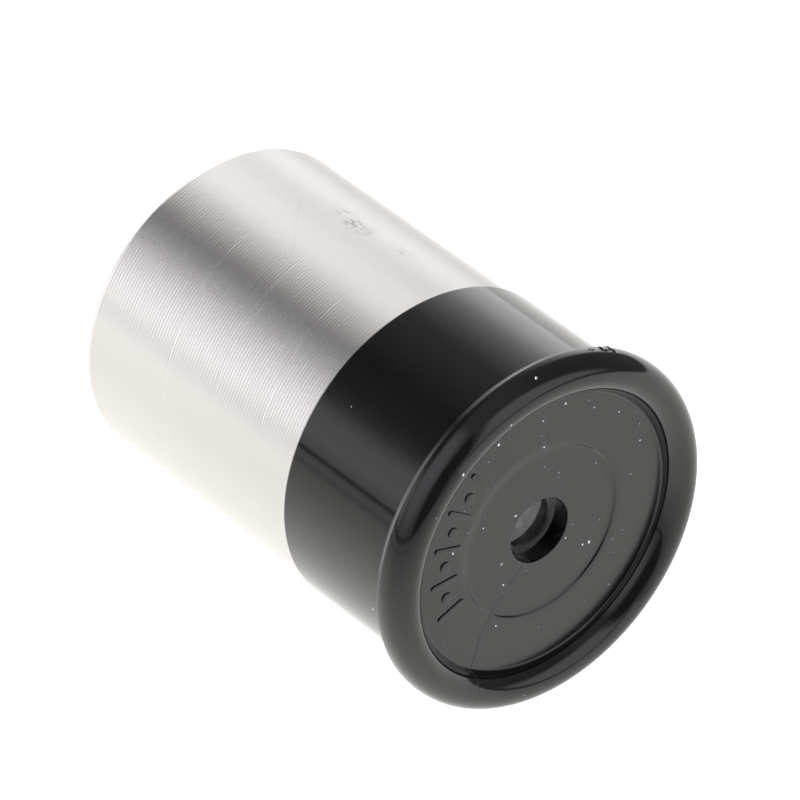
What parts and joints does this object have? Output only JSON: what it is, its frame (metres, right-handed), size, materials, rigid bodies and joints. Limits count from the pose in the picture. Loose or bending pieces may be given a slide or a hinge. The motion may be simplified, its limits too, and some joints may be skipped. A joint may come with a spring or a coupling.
{
  "type": "telescope eyepiece",
  "caption": "Small two-lens telescope eyepiece: turned aluminium push-in barrel screwed to a glossy black moulded eye cap with a rounded rim, recessed face and eye hole.",
  "frame": {"origin": "centre of the barrel's open end, on the plane that the open end stands on", "axes": "+Z along the optical axis, towards the eye; the raised marks on the face are towards -Y and +X"},
  "size_m": [0.0278, 0.0278, 0.0369],
  "materials": {
    "turned_aluminium": "satin, fine lathe lines",
    "black_moulding": "glossy outside, satin face",
    "lens_glass": "polished",
    "black_ring_plastic": "matt",
    "blackened_washer": "matt black",
    "black_anodised": "black anodised"
  },
  "bodies": {
    "barrel": {"barrel": "turned_aluminium"},
    "eye_lens_stack": {"eye_lens": "lens_glass", "eye_lens_spacer": "black_ring_plastic", "field_stop": "blackened_washer", "field_lens_spacer": "black_ring_plastic"},
    "eye_cap": {"eye_cap": "black_moulding"},
    "field_lens": {"field_lens": "lens_glass"},
    "lens_retainer": {"lens_retainer": "black_anodised"}
  },
  "joints": [
    {"name": "cap_lift", "type": "slide", "parent": "barrel", "child": "eye_lens_stack", "axis": [0, 0, 1], "range_m": [0, 0.003]},
    {"name": "cap_unscrew", "type": "hinge", "parent": "eye_lens_stack", "child": "eye_cap", "pos_m": [0, 0, 0.0228], "axis": [0, 0, 1], "range_deg": [0, 1440]},
    {"name": "retainer_drop", "type": "slide", "parent": "eye_cap", "child": "field_lens", "axis": [0, 0, -1], "range_m": [0, 0.0012]},
    {"name": "retainer_unscrew", "type": "hinge", "parent": "field_lens", "child": "lens_retainer", "pos_m": [0, 0, 0.0225], "axis": [0, 0, -1], "range_deg": [0, 720]}
  ],
  "couplings": [
    {"joint": "cap_lift", "follows": "cap_unscrew", "m_per_rad": 0.00011937},
    {"joint": "retainer_drop", "follows": "retainer_unscrew", "m_per_rad": 0.000095493}
  ]
}
